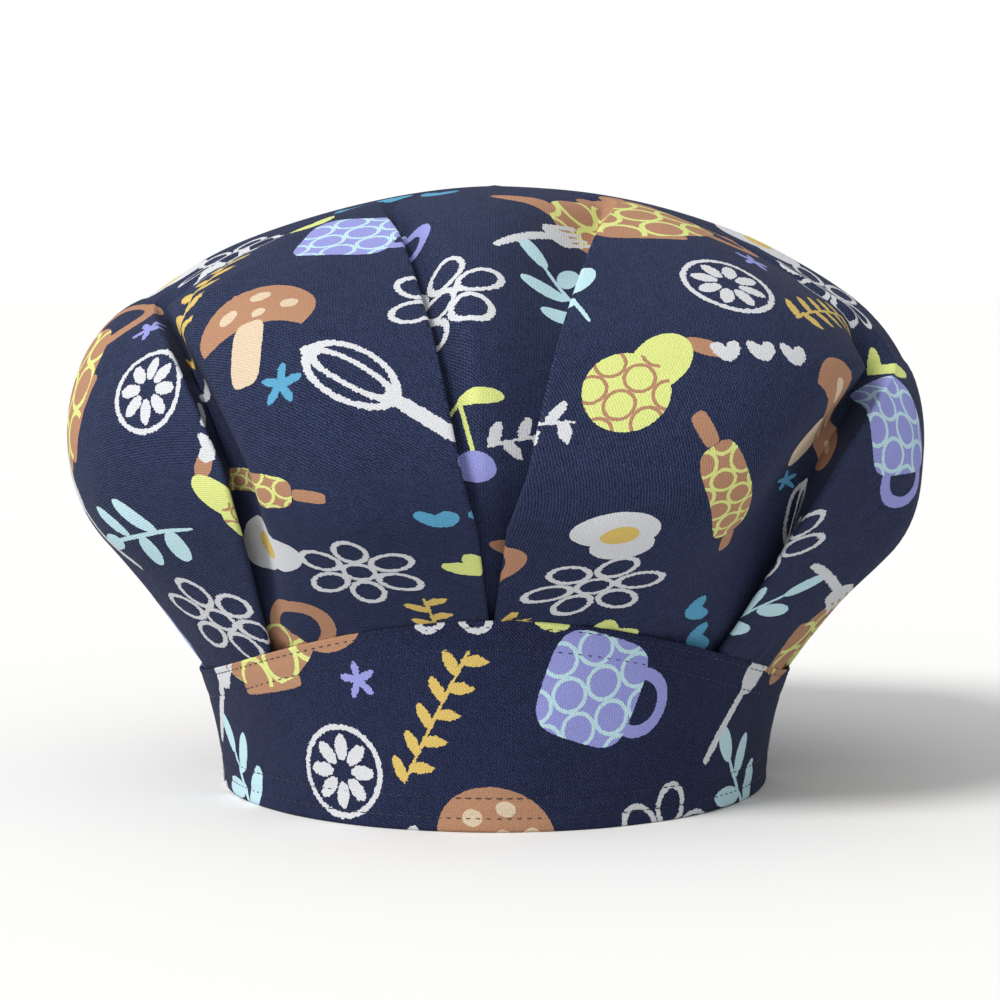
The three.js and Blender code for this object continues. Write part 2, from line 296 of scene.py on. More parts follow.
# Height of the panel between folds a and b: swell * width * (sin^2 - 1/2), sinking beside a fold
# that it passes under.
def panelLevel(a, b, along):
    start, end = a["along"][:, None], b["along"][:, None]
    width = np.maximum(end - start, 0)
    sinkA = a["drop"] * (1 - smooth((along - start) / a["rise"])) * (a["over"] < 0)
    sinkB = b["drop"] * (1 - smooth((end - along) / b["rise"])) * (b["over"] > 0)
    share = np.clip((along - start) / np.maximum(width, 1), 0, 1)
    return a["swell"] * width * (np.sin(math.pi * share) ** 2 - 0.5) - np.maximum(sinkA, sinkB)


# A fold's lines in order round the ring: a half round lip, the run back under the upper panel, and
# a half round turn into the lower panel. Where it has faded out, the lines are spread evenly.
def foldLines(fold, radius, upper):
    c = crownCloth
    place, over, under = fold["along"][:, None], fold["over"], fold["under"]
    lip = panelLevel(*upper, place)
    turn = np.minimum(lip, panelLevel(*upper, place + over * under)) - fold["drop"]
    r = c["lipRadius"]
    bend = np.linspace(0, math.pi, 5)
    half = np.linspace(0, math.pi, 3)
    back = np.array([0.25, 0.5, 0.75])
    shift = [r - r * np.sin(bend) + 0 * lip, mix(r, under - r, back), under - r + r * np.sin(half)]
    out = [
        lip - r + r * np.cos(bend),
        mix(lip - 2 * r, turn + 2 * r, back),
        turn + r + r * np.cos(half),
    ]
    shift, out = np.concatenate(shift, 1), np.concatenate(out, 1)
    order = np.linspace(0, 1, shift.shape[1])
    spacing = (c["openWidth"] * np.minimum(radius / c["openRadius"], 1))[:, None]
    along = place + over * mix(3 * (0.5 - order) * spacing, shift, fold["closed"])
    out = mix(lip - fold["drop"] * order, out, fold["closed"])
    return (along, out) if over < 0 else (along[:, ::-1], out[:, ::-1])


# Lines of the panel between two pleats. Where it lies hidden under a fold, its level runs straight
# from the inner turn to the fold's edge.
def panelLines(a, b, start, end):
    steps = np.linspace(0, 1, crownCloth["panelColumns"] + 2)[1:-1]
    share = mix(steps, 0.5 - 0.5 * np.cos(math.pi * steps), 0.5)
    along = mix(start[0], end[0], share)
    level = panelLevel(a, b, along)
    edgeA, edgeB = a["along"][:, None], b["along"][:, None]
    hiddenA = np.maximum((edgeA - along) / np.maximum(edgeA - start[0], 1e-6), 0) * (a["over"] < 0)
    hiddenB = np.maximum((along - edgeB) / np.maximum(end[0] - edgeB, 1e-6), 0) * (b["over"] > 0)
    return along, mix(mix(level, start[1], hiddenA), end[1], hiddenB)


# All the cloth round the ring at each reach: along the ring, height, and the angle in the flat
# round of cloth, where each panel keeps its true width and the folds hide the rest.
def ringLines(reach):
    radius = ringRadius(reach)
    turn = 2 * math.pi * radius
    folds = [foldAt(pleat, reach) for pleat in pleats]
    before = dict(folds[-1], along=folds[-1]["along"] - turn)
    after = dict(folds[0], along=folds[0]["along"] + turn)
    ring = [before, *folds, after]
    count = len(folds)
    blocks = []
    for i, fold in enumerate(folds):
        upper = (ring[i], fold) if fold["over"] < 0 else (fold, ring[i + 2])
        blocks.append(foldLines(fold, radius, upper))
    narrowing = np.minimum(radius / reach, 1)[:, None]
    reference = np.argmin(abs(reach - (domeReach + widestReach) / 2))
    centres = [
        (ring[i + 1]["along"][reference] + ring[i + 2]["along"][reference]) / 2 / radius[reference]
        for i in range(count)
    ]

    def flatAngle(along, centre):  # the panel's middle line keeps its place, lengths stay true
        return centre + (along / radius[:, None] - centre) * narrowing

    alongs, outs, angles = [], [], []
    for i in range(count):
        along, out = blocks[i]
        last = centres[i - 1] - (2 * math.pi if i == 0 else 0)
        step = np.hypot(np.diff(along, axis=1), np.diff(out, axis=1))
        share = np.cumsum(step, 1) / np.sum(step, 1)[:, None]
        share = np.concatenate([np.zeros((len(reach), 1)), share], 1)
        first, final = flatAngle(along[:, :1], last), flatAngle(along[:, -1:], centres[i])
        alongs.append(along)
        outs.append(out)
        angles.append(mix(first, final, share))
        nextAlong, nextOut = blocks[(i + 1) % count]
        shift = turn[:, None] if i == count - 1 else 0
        start = along[:, -1:], out[:, -1:]
        end = nextAlong[:, :1] + shift, nextOut[:, :1]
        panel = panelLines(folds[i], ring[i + 2], start, end)
        alongs.append(panel[0])
        outs.append(panel[1])
        angles.append(flatAngle(panel[0], centres[i]))
    return tuple(np.concatenate(parts, 1) for parts in (alongs, outs, angles))


# Unevenness of the crown: the dents, a few dozen soft wrinkles that mostly run up from the band,
# each height * exp(-across^2 - along^2), and short puckers where it is sewn into the band.
def crownRelief(azimuth, reach):
    radius = ringRadius(reach)[:, None]
    reach = reach[:, None]
    height = np.zeros_like(azimuth)
    for dent in dents:
        across = radius * (azimuth - dent["azimuth"] * degree) / dent["across"]
        along = (reach - dent["reach"]) / dent["along"]
        height += dent["height"] * np.exp(-across ** 2 - along ** 2)
    rng = np.random.default_rng(11)
    for _ in range(crownCloth["wrinkles"]):
        place = rng.uniform(-math.pi, math.pi)
        low = rng.uniform(*crownCloth["wrinkleReach"])
        lean = rng.normal(0, crownCloth["wrinkleLean"])
        width = rng.uniform(*crownCloth["wrinkleWidth"])
        length = rng.uniform(*crownCloth["wrinkleLength"])
        size = rng.uniform(*crownCloth["wrinkleShare"]) * rng.choice([-1, 1])
        off = np.angle(np.exp(1j * (azimuth - place))) * radius
        up = reach - low * seamReach
        across = (off * math.cos(lean) + up * math.sin(lean)) / width
        along = (up * math.cos(lean) - off * math.sin(lean)) / length
        height += crownCloth["wrinkleHeight"] * size * np.exp(-across ** 2 - along ** 2)
    ripple = sum(
        share * np.sin(waves * azimuth + phase) for waves, share, phase in crownCloth["ripples"]
    )
    fade = np.exp(-((seamReach - reach) / crownCloth["puckerRun"]) ** 2) * (reach <= seamReach)
    return height + crownCloth["puckerHeight"] * ripple * fade


# Crown: point(azimuth, reach, out) over the ring lines, one pole on top, cloth thickness added last
def makeCrown(materials):
    c = crownCloth
    zone = seamReach - c["seamZone"]
    hem = np.array([bandBevel / 2, bandBevel, c["hemRow"], capForm["seamAllowance"]])
    reach = np.concatenate([
        np.linspace(c["poleGap"], zone, c["bodyRows"]),
        np.linspace(zone, seamReach, c["seamRows"] + 1)[1:],
        seamReach + hem,
    ])
    along, out, flat = ringLines(reach)
    azimuth = along / ringRadius(reach)[:, None]
    out = out + crownRelief(azimuth, reach)
    points = crownPoint(azimuth, reach[:, None], out)
    rows, columns = azimuth.shape
    uv = np.stack([reach[:, None] * np.sin(flat), -reach[:, None] * np.cos(flat)], -1)
    pole = np.array([[0, 0, capForm["capHeight"]]])
    points = toFrame(np.concatenate([points.reshape(-1, 3), pole]))
    uv = np.concatenate([uv.reshape(-1, 2), [[0, 0]]]) * mm
    quads = gridFaces(rows, columns, False, True)
    ring = np.arange(columns)
    fan = np.stack([np.full(columns, rows * columns), ring, (ring + 1) % columns], -1)
    piece = makeMesh("crownCloth", points, [quads, fan], uv, materials)
    wall = piece.modifiers.new("cloth thickness", "SOLIDIFY")
    wall.thickness = c["thickness"] * mm
    wall.offset = 0
    wall.material_offset = 1
    return piece


# The head band: its cloth, doubled and pressed, and its four rows of topstitching, in mm
bandCloth = {
    "edgeRadius": 0.8,
    "footRadius": 1.0,
    "columns": 640,
    "faceRows": 34,
    "innerRows": 8,
    "waviness": 0.25,
    "waves": [(9, 17, 1.0, 0.0), (17, -9, 0.7, 2.0)],  # waves round, mm up, share, phase
    "footHold": 14.0,  # the waves grow over this height above the rim
    "topHold": 12.0,  # and over this one below the top edge
    "heldShare": 0.35,
    "stitchRows": [(1, -2.0), (1, -8.6), (0, 4.2), (0, 10.2)],  # share of the top edge's height, mm
    "grooveDepth": 0.45,
    "grooveWidth": 0.85,
    "stitchPull": 0.25,  # of the groove's depth, missing between two stitches
    "seamDepth": 0.5,
    "seamWidth": 0.8,
    "stitchPitch": 3.0,
    "stitchGap": 0.5,
    "threadRadius": 0.17,
    "threadLift": 0.16,
    "threadArch": 0.3,
    "threadSections": 5,
    "threadSides": 6,
    "threadTaper": 0.75,  # of its cross-section, lost at the ends of a stitch
    "printStart": (318.0, 74.0),  # where on the printed cloth the band was cut
    "strip": (0.6, 0.065),  # metres, the cloth it is cut from, before folding
    "stripArea": 0.028,  # square metres, less where the top edge is cut away
}


# Relief of the band's outer face: soft waves, a groove -depth * exp(-(d / width)^2) at each stitch
# row, pulled in a little more by each stitch, and another at the seam behind.
def bandRelief(azimuth, height):
    b = bandCloth
    top = bandTop(azimuth)
    along = azimuth * rimRadius
    free = smooth(height / b["footHold"]) * smooth((top - height) / b["topHold"])
    waves = sum(
        share * np.sin(count * azimuth + height / climb + phase)
        for count, climb, share, phase in b["waves"]
    )
    relief = b["waviness"] * waves * mix(b["heldShare"], 1, free)
    pull = 1 - b["stitchPull"] * (1 - np.cos(2 * math.pi * along / b["stitchPitch"]))
    for follow, shift in b["stitchRows"]:
        away = (height - follow * top - shift) / b["grooveWidth"]
        relief -= b["grooveDepth"] * pull * np.exp(-away ** 2)
    backSeam = np.angle(np.exp(1j * (azimuth - math.pi))) * capForm["rimHalfWidth"]
    return relief - b["seamDepth"] * np.exp(-(backSeam / b["seamWidth"]) ** 2)


# Band: a closed profile carried round the oval. Up the outer face, over the rounded top edge, down
# the slope and the inner face, and round the foot.
def makeBand(materials):
    b, wall = bandCloth, capForm["bandWall"]
    azimuth = np.linspace(-math.pi, math.pi, b["columns"], endpoint=False)
    top = bandTop(azimuth)
    face = np.linspace(0, 1, b["faceRows"])[:, None]
    inner = np.linspace(1, 0, b["innerRows"])[:, None]
    over = np.linspace(0, math.pi / 2 + capForm["tuckAngle"], 6)[1:, None]
    foot = np.linspace(0, math.pi, 7)[1:-1, None]
    edge, toe = b["edgeRadius"], b["footRadius"]
    heights = [
        mix(toe, top - edge, face),
        top - edge + edge * np.sin(over),
        mix(toe, top - bandBevel, inner),
        toe - toe * np.sin(foot) + 0 * top,
    ]
    insets = [
        0 * face + 0 * top,
        edge - edge * np.cos(over) + 0 * top,
        wall + 0 * inner + 0 * top,
        wall - toe + toe * np.cos(foot) + 0 * top,
    ]
    heights, insets = np.concatenate(heights), np.concatenate(insets)
    depth = 1 - insets / wall  # the relief fades out through the band
    points = bandPoint(azimuth, heights, insets - depth * bandRelief(azimuth, heights))
    points[..., 2] = np.maximum(points[..., 2], 0)
    run = azimuth * rimRadius
    uv = np.stack(np.broadcast_arrays(run, heights - insets), -1) + b["printStart"]
    rows, columns = heights.shape
    faces = gridFaces(rows, columns, True, True)
    points, uv = toFrame(points.reshape(-1, 3)), uv.reshape(-1, 2) * mm
    piece = makeMesh("bandCloth", points, [faces], uv, materials)
    fixSeamUv(piece, faces, columns, 2 * math.pi * rimRadius)
    return piece


# The last column of faces runs on past the whole turn instead of back to the start
def fixSeamUv(piece, faces, columns, turn):
    layer = piece.data.uv_layers["cloth"]
    uv = np.zeros(len(faces) * 8, np.float32)
    layer.data.foreach_get("uv", uv)
    uv = uv.reshape(-1, 4, 2)
    wraps = faces.max(1) % columns == columns - 1
    wraps &= (faces % columns == 0).any(1)
    late = (faces % columns == 0) & wraps[:, None]
    uv[..., 0] += late * turn * mm
    layer.data.foreach_set("uv", uv.ravel())


# One row of stitches: each a short thin tube that rises from the cloth and dips back into it,
# centre + radius * (cos t * outward + sin t * up), with a point at each end.
def stitchRow(follow, shift):
    b = bandCloth
    sections, sides = b["threadSections"], b["threadSides"]
    t = np.linspace(-1, 1, sections)
    fine = np.linspace(0, 2 * math.pi, 2000)
    oval = bandPoint(fine, follow * bandTop(fine) + shift, 0)
    arc = np.r_[0, np.cumsum(np.linalg.norm(np.diff(oval, axis=0), axis=1))]
    count = int(arc[-1] // b["stitchPitch"])
    centre = (np.arange(count) + 0.5) * arc[-1] / count
    half = (b["stitchPitch"] - b["stitchGap"]) / 2
    azimuth = np.interp(centre[:, None] + half * t, arc, fine)
    height = follow * bandTop(azimuth) + shift
    lift = bandRelief(azimuth, height) + b["threadLift"] - b["threadArch"] * t ** 2
    path = bandPoint(azimuth, height, -lift)
    outward = ovalPoint(1.0, 1.0, azimuth, 0.0)
    up = np.array([0, 0, 1.0])
    angle = np.linspace(0, 2 * math.pi, sides, endpoint=False)[:, None]
    radius = b["threadRadius"] * np.sqrt(1 - b["threadTaper"] * t ** 2)
    ring = np.cos(angle) * outward[..., None, :] + np.sin(angle) * up
    points = (path[..., None, :] + radius[:, None, None] * ring).reshape(count, -1, 3)
    points = np.concatenate([points, path[:, [0, -1]]], 1)
    near = np.arange(sides)
    far = near + (sections - 1) * sides
    first = np.stack([np.full(sides, sections * sides), near, np.roll(near, -1)], -1)
    last = np.stack([np.full(sides, sections * sides + 1), np.roll(far, -1), far], -1)
    start = np.arange(count)[:, None, None] * points.shape[1]
    walls = (gridFaces(sections, sides, False, True) + start).reshape(-1, 4)
    caps = (np.concatenate([first, last]) + start).reshape(-1, 3)
    return points.reshape(-1, 3), walls, caps


# All four rows of stitches as one piece
def makeStitches(material):
    points, blocks, start = [], [], 0
    for follow, shift in bandCloth["stitchRows"]:
        rowPoints, walls, caps = stitchRow(follow, shift)
        points.append(rowPoints)
        blocks += [walls + start, caps + start]
        start += len(rowPoints)
    points = toFrame(np.concatenate(points))
    return makeMesh("topstitching", points, blocks, np.zeros((len(points), 2)), [material])


def linear(hexColour):  # sRGB hex to linear RGBA
    parts = [int(hexColour[k:k + 2], 16) / 255 for k in (1, 3, 5)]
    return [p / 12.92 if p <= 0.04045 else ((p + 0.055) / 1.055) ** 2.4 for p in parts] + [1]


# Adds a node: settings by name, inputs by socket name or number, linked if given a socket or node
def addNode(tree, kind, inputs, **settings):
    node = tree.nodes.new(kind)
    for name, value in settings.items():
        setattr(node, name, value)
    for key, value in inputs.items():
        if isinstance(value, bpy.types.Node):
            value = value.outputs[0]
        if isinstance(value, bpy.types.NodeSocket):
            tree.links.new(value, node.inputs[key])
        else:
            node.inputs[key].default_value = value
    return node


# The print's inks, and its motifs drawn by marks in mm: shape, centre x and y, half width and
# height, turn in degrees, ink, and the stroke of a ring. "rings" is a lattice of rings, pitch and
# radius, on the mark before it. "main" and "accent" are set per motif, "ground" leaves the cloth,
# and a brushed motif has rough edges.
inks = {
    "chalk": "#c8cace",
    "terracotta": "#a77d62",
    "cream": "#cbb99f",
    "lilac": "#8d91cd",
    "aqua": "#b4d4dc",
    "sky": "#5496b8",
    "lime": "#ccd582",
    "mustard": "#cbb062",
}
motifs = {
    "teapot": {"marks": [
        ("ring", 19, 1, 8, 7.5, 0, "main", 3.4),
        ("oval", -20, 4, 9.5, 2.9, -42, "main", 0),
        ("oval", 0, 12.8, 9, 3.4, 0, "main", 0),
        ("oval", 0, 17.6, 2.7, 2.4, 0, "main", 0),
        ("block", 0, -12.5, 9, 1.6, 0, "main", 0),
        ("oval", 0, 0, 17.5, 13, 0, "main", 0),
        ("rings", 2, 1, 9.6, 4.4, 20, "accent", 1.1),
    ]},
    "mushroom": {"marks": [
        ("oval", 0, 2, 13, 10, 0, "main", 0),
        ("oval", 0, -6.5, 14, 6, 0, "ground", 0),
        ("block", 0, -7, 3.6, 7.5, 0, "accent", 0),
        ("oval", -6, 4.5, 2.2, 1.8, 0, "accent", 0),
        ("oval", 0.6, 8, 2.2, 1.6, 0, "accent", 0),
        ("oval", 7.4, 4.2, 1.8, 1.5, 0, "accent", 0),
        ("oval", 1.4, 2.6, 1.5, 1.2, 0, "accent", 0),
    ]},
    "mug": {"marks": [
        ("ring", 12, 0, 6, 6.5, 0, "main", 2.6),
        ("block", 0, 0, 11.5, 12, 0, "main", 0),
        ("rings", 2, 2, 8.2, 3.7, 35, "accent", 0.9),
    ]},
    "sprig": {"marks": [
        ("block", 0, -3, 0.7, 17, 0, "main", 0),
        ("oval", -6, -8, 7, 3, -36, "main", 0),
        ("oval", 6, -3, 7, 3, 36, "main", 0),
        ("oval", -5.6, 3, 6.4, 2.8, -36, "main", 0),
        ("oval", 5.6, 8, 6, 2.6, 36, "main", 0),
        ("oval", 0, 17, 2.8, 6, 0, "main", 0),
    ]},
    "pear": {"marks": [
        ("oval", 5, 15.5, 5, 2, 28, "accent", 0),
        ("oval", 0.5, 6, 5.8, 8.4, 0, "main", 0),
        ("oval", 0, -4, 9.6, 9.2, 0, "main", 0),
        ("rings", 0, 0, 7.4, 3.3, 10, "accent", 0.8),
    ]},
    "cherries": {"marks": [
        ("block", -3.6, 4, 0.6, 9, -26, "main", 0),
        ("block", 3.4, 4, 0.6, 9, 24, "main", 0),
        ("oval", 5.4, 13, 6, 2.3, 14, "main", 0),
        ("oval", -7.5, -7, 5.8, 5.6, 0, "accent", 0),
        ("oval", 7.2, -7.6, 5.8, 5.6, 0, "accent", 0),
    ]},
    "egg": {"marks": [
        ("oval", -3, 1, 12, 9.6, 18, "main", 0),
        ("oval", 6, -3, 9, 8, -24, "main", 0),
        ("oval", 0, 0, 5, 4.8, 0, "accent", 0),
    ]},
    "blossom": {"brushed": True, "around": 6, "marks": [
        ("ring", 12, 0, 6, 4.6, 0, "main", 1.6),
        ("ring", 0, 0, 4.6, 4.6, 0, "main", 1.6),
    ]},
    "citrus": {"brushed": True, "around": 8, "marks": [
        ("ring", 0, 0, 14, 14, 0, "main", 1.8),
        ("oval", 7.6, 0, 4.2, 2.3, 0, "main", 0),
    ]},
    "whisk": {"brushed": True, "marks": [
        ("block", 0, -15, 2.1, 10, 0, "main", 0),
        ("ring", 0, 8, 7.4, 13, 0, "main", 1.5),
        ("ring", 0, 8, 3.2, 13, 0, "main", 1.3),
    ]},
    "fork": {"brushed": True, "marks": [
        ("block", 0, -11, 1.5, 15, 0, "main", 0),
        ("oval", 0, 5, 4.8, 5.4, 0, "main", 0),
        ("block", -3.9, 12, 0.9, 7, 0, "main", 0),
        ("block", -1.3, 12, 0.9, 7, 0, "main", 0),
        ("block", 1.3, 12, 0.9, 7, 0, "main", 0),
        ("block", 3.9, 12, 0.9, 7, 0, "main", 0),
    ]},
    "rollingPin": {"marks": [
        ("block", 0, 21.5, 2.1, 4.4, 0, "main", 0),
        ("block", 0, -21.5, 2.1, 4.4, 0, "main", 0),
        ("block", 0, 0, 6, 17, 0, "main", 0),
        ("rings", 2, 1, 7.2, 3.2, 25, "accent", 0.9),
    ]},
    "hearts": {"brushed": True, "repeat": (15, 22.5), "marks": [
        ("oval", -2.2, 0.6, 3, 5, 38, "main", 0),
        ("oval", 2.2, 0.6, 3, 5, -38, "main", 0),
    ]},
    "vine": {"brushed": True, "repeat": (9.6, 24), "marks": [
        ("oval", -1.4, 3.2, 1.9, 4.4, -34, "main", 0),
        ("oval", 2.8, -3.2, 1.9, 4.4, 34, "main", 0),
        ("oval", 0, 0, 6, 0.6, 0, "main", 0),
    ]},
    "heart": {"brushed": True, "marks": [
        ("oval", -2.3, 0.6, 3, 5, 38, "main", 0),
        ("oval", 2.3, 0.6, 3, 5, -38, "main", 0),
    ]},
    "spark": {"brushed": True, "around": 5, "marks": [
        ("oval", 3, 0, 3.6, 1.3, 0, "main", 0),
    ]},
}
# The repeat of the print: motif, place in mm, turn in degrees, size, main ink, accent ink
printRepeat = (196.0, 178.0)
printLayout = [
    ("teapot", 42, 132, 12, 1.5, "terracotta", "lime"),
    ("blossom", 110, 150, 0, 1.0, "chalk", "chalk"),
    ("hearts", 164, 160, -16, 1.0, "sky", "sky"),
    ("mug", 152, 116, -18, 1.35, "lilac", "aqua"),
    ("vine", 104, 108, 62, 0.95, "mustard", "mustard"),
    ("mushroom", 122, 70, -14, 1.45, "terracotta", "cream"),
    ("citrus", 72, 90, 0, 0.95, "chalk", "chalk"),
    ("sprig", 22, 78, 34, 1.15, "aqua", "aqua"),
    ("blossom", 180, 66, 20, 1.05, "chalk", "chalk"),
    ("whisk", 154, 34, 44, 1.1, "chalk", "chalk"),
    ("pear", 54, 42, -24, 1.35, "lime", "terracotta"),
    ("rollingPin", 100, 22, 60, 1.2, "terracotta", "lime"),
    ("vine", 20, 18, 16, 0.95, "chalk", "chalk"),
    ("hearts", 85, 65, 30, 0.75, "chalk", "chalk"),
    ("cherries", 184, 14, -10, 1.1, "lime", "lilac"),
    ("fork", 16, 110, -38, 1.0, "chalk", "chalk"),
    ("egg", 86, 172, 0, 1.0, "chalk", "mustard"),
    ("heart", 140, 138, 15, 1.2, "lime", "lime"),
    ("spark", 128, 44, 0, 1.0, "sky", "sky"),
    ("spark", 80, 118, 30, 0.9, "lilac", "lilac"),
]


def placing(x, y, turn, wide, tall):  # matrix from print to local: moved back, turned back, divided
    c, s = math.cos(turn * degree), math.sin(turn * degree)
    moved = np.array([[1, 0, -x], [0, 1, -y], [0, 0, 1]])
    turned = np.array([[c / wide, s / wide, 0], [-s / tall, c / tall, 0], [0, 0, 1]])
    return turned @ moved


def steer(tree, base, row):  # one local coordinate, as the dot product with (x, y, 1)
    inputs = {0: base, 1: tuple(row)}
    return addNode(tree, "ShaderNodeVectorMath", inputs, operation="DOT_PRODUCT").outputs["Value"]


# One mark over the colour so far: inside where p^2 + q^2 < 1, or p^4 + q^4 < 1 for a block, and
# within half a stroke of 1 for a ring. For a lattice of rings p and q wrap, inside the last mark.
def paintMark(tree, base, local, mark, colour, ink, within):
    shape, x, y, wide, tall, turn, _, stroke = mark
    lattice = shape == "rings"
    rows = placing(x, y, turn, tall if lattice else wide, tall) @ local
    p, q = (steer(tree, base, rows[k]) for k in (0, 1))
    if lattice:
        half = wide / tall / 2
        p = addNode(tree, "ShaderNodeMath", {0: p, 1: half, 2: -half}, operation="WRAP")
        q = addNode(tree, "ShaderNodeMath", {0: q, 1: half, 2: -half}, operation="WRAP")
    square = addNode(tree, "ShaderNodeMath", {0: p, 1: p}, operation="MULTIPLY")
    if shape == "block":
        square = addNode(tree, "ShaderNodeMath", {0: square, 1: square}, operation="MULTIPLY")
        q = addNode(tree, "ShaderNodeMath", {0: q, 1: q}, operation="MULTIPLY")
    far = addNode(tree, "ShaderNodeMath", {0: q, 1: q, 2: square}, operation="MULTIPLY_ADD")
    if stroke > 0:
        w = stroke / 2 / min(wide, tall)
        band = {0: far, 1: 1 + w * w, 2: 2 * w}
        inside = addNode(tree, "ShaderNodeMath", band, operation="COMPARE")
    else:
        inside = addNode(tree, "ShaderNodeMath", {0: far, 1: 1.0}, operation="LESS_THAN")
    if within is not None:
        inside = addNode(tree, "ShaderNodeMath", {0: inside, 1: within}, operation="MULTIPLY")
    painted = addNode(tree, "ShaderNodeMix", {0: inside, 6: colour, 7: ink}, data_type="RGBA")
    return painted.outputs[2], inside


# The motif's own coordinates for its marks: the wrapped print coordinates, or those folded round
# its middle into equal sectors, or repeated along a row of limited length.
def motifBase(tree, base, motif, local):
    if "around" not in motif and "repeat" not in motif:
        return base, local, None
    p, q = (steer(tree, base, local[k]) for k in (0, 1))
    within = None
    if "repeat" in motif:
        pitch, reach = motif["repeat"]
        span = {0: p, 1: 0.0, 2: reach}
        within = addNode(tree, "ShaderNodeMath", span, operation="COMPARE")
        step = {0: p, 1: pitch / 2, 2: -pitch / 2}
        p = addNode(tree, "ShaderNodeMath", step, operation="WRAP")
    else:
        sector = math.pi / motif["around"]
        angle = addNode(tree, "ShaderNodeMath", {0: q, 1: p}, operation="ARCTAN2")
        step = {0: angle, 1: sector, 2: -sector}
        angle = addNode(tree, "ShaderNodeMath", step, operation="WRAP")
        square = addNode(tree, "ShaderNodeMath", {0: p, 1: p}, operation="MULTIPLY")
        square = addNode(tree, "ShaderNodeMath", {0: q, 1: q, 2: square}, operation="MULTIPLY_ADD")
        far = addNode(tree, "ShaderNodeMath", {0: square}, operation="SQRT")
        cosine = addNode(tree, "ShaderNodeMath", {0: angle}, operation="COSINE")
        sine = addNode(tree, "ShaderNodeMath", {0: angle}, operation="SINE")
        p = addNode(tree, "ShaderNodeMath", {0: far, 1: cosine}, operation="MULTIPLY")
        q = addNode(tree, "ShaderNodeMath", {0: far, 1: sine}, operation="MULTIPLY")
    folded = addNode(tree, "ShaderNodeCombineXYZ", {0: p, 1: q, 2: 1.0})
    return folded.outputs[0], np.eye(3), within


# The whole print: each motif of the layout painted over the ground, in wrapped coordinates
def makePrintGroup():
    tree = bpy.data.node_groups.new("kitchen print", "ShaderNodeTree")
    tree.interface.new_socket("Cloth mm", in_out="INPUT", socket_type="NodeSocketVector")
    tree.interface.new_socket("Brushed mm", in_out="INPUT", socket_type="NodeSocketVector")
    tree.interface.new_socket("Ground", in_out="INPUT", socket_type="NodeSocketColor")
    tree.interface.new_socket("Colour", in_out="OUTPUT", socket_type="NodeSocketColor")
    start = tree.nodes.new("NodeGroupInput")
    cloth, brushed, ground = start.outputs[0], start.outputs[1], start.outputs[2]
    colour = ground
    vector = "ShaderNodeVectorMath"
    high = (printRepeat[0] / 2, printRepeat[1] / 2, 2.0)
    low = (-printRepeat[0] / 2, -printRepeat[1] / 2, 0.0)
    for name, x, y, turn, size, main, accent in printLayout:
        edge = brushed if "brushed" in motifs[name] else cloth
        base = addNode(tree, vector, {0: edge, 1: (x, y, 0.0)}, operation="SUBTRACT")
        base = addNode(tree, vector, {0: base, 1: high, 2: low}, operation="WRAP").outputs[0]
        local = placing(0, 0, turn, size, size)
        base, local, row = motifBase(tree, base, motifs[name], local)
        inside = None
        for mark in motifs[name]["marks"]:
            chosen = {"main": main, "accent": accent}.get(mark[6])
            ink = linear(inks[chosen]) if chosen else ground
            within = inside if mark[0] == "rings" else row
            colour, inside = paintMark(tree, base, local, mark, colour, ink, within)
    end = tree.nodes.new("NodeGroupOutput")
    tree.links.new(colour, end.inputs[0])
    print("print:", len(tree.nodes), "nodes")
    return tree


# Cotton twill, printed: dull, with fine diagonal ribs broken by the threads across them, a cloudy
# unevenness of the dye, and print that sits a little unevenly on the ribs.
twill = {
    "crown": ("#141b2e", "#3a4367", 0.97),  # ground, rib and strength of the ink
    # the band's copy is darker than the crown's though cut from the same cloth: painted shade on the
    # band
    "band": ("#10162a", "#31395c", 0.97),
    "wrongSide": ("#2c3149", "#3d4260", 0.22),
    "ribPitch": 0.8,  # mm between the diagonal ribs, drawn a little coarser than they are
    "threadPitch": 0.8,  # mm between the threads that break the ribs
    "threadShare": 0.6,  # how strongly they break the ribs
    "wanderSize": 0.9,  # mm over which ribs and threads wander
    "ribWander": 6.5,  # radians of a rib's phase
    "threadWander": -9.0,  # radians of a thread's phase
    "grainSize": 0.5,  # mm, the loose fibres
    "grainShare": 4.0,
    "slubSize": 2.6,  # mm
    "tone": (0.02, 0.26, 0.6),  # from ground to rib: at least, for each of the weave and the slubs
    "inkTone": (0.95, 0.07),  # brightness of the colour, and its change over the weave
    "inkGrain": 0.8,  # mm over which a printed edge strays
    "inkWander": 0.3,  # mm that it strays
    "brushGrain": 0.9,  # mm between the notches of a brushed edge
    "brushWander": 0.85,  # mm that it strays
    "slubBump": 1.4,
    "bump": 0.45,
    "bumpHeight": 0.0001,  # metres
    "roughness": 0.86,
    "specular": 0.1,
    "sheen": 0.02,
}


def addNoise(tree, place, size, detail, roughness=0.5):  # noise with features of a size
    inputs = {"Vector": place, "Scale": 1 / size, "Detail": detail, "Roughness": roughness}
    return addNode(tree, "ShaderNodeTexNoise", inputs)


# Cloth coordinates strayed by a noise of the given grain, cloth + 2 * amount * (noise - 1/2)
def strayed(tree, cloth, grain, amount, detail):
    vector = "ShaderNodeVectorMath"
    noise = addNoise(tree, cloth, grain, detail).outputs["Color"]
    centred = addNode(tree, vector, {0: noise, 1: (0.5, 0.5, 0.0)}, operation="SUBTRACT")
    inputs = {0: centred, 1: (2 * amount, 2 * amount, 0.0), 2: cloth}
    return addNode(tree, vector, inputs, operation="MULTIPLY_ADD").outputs[0]


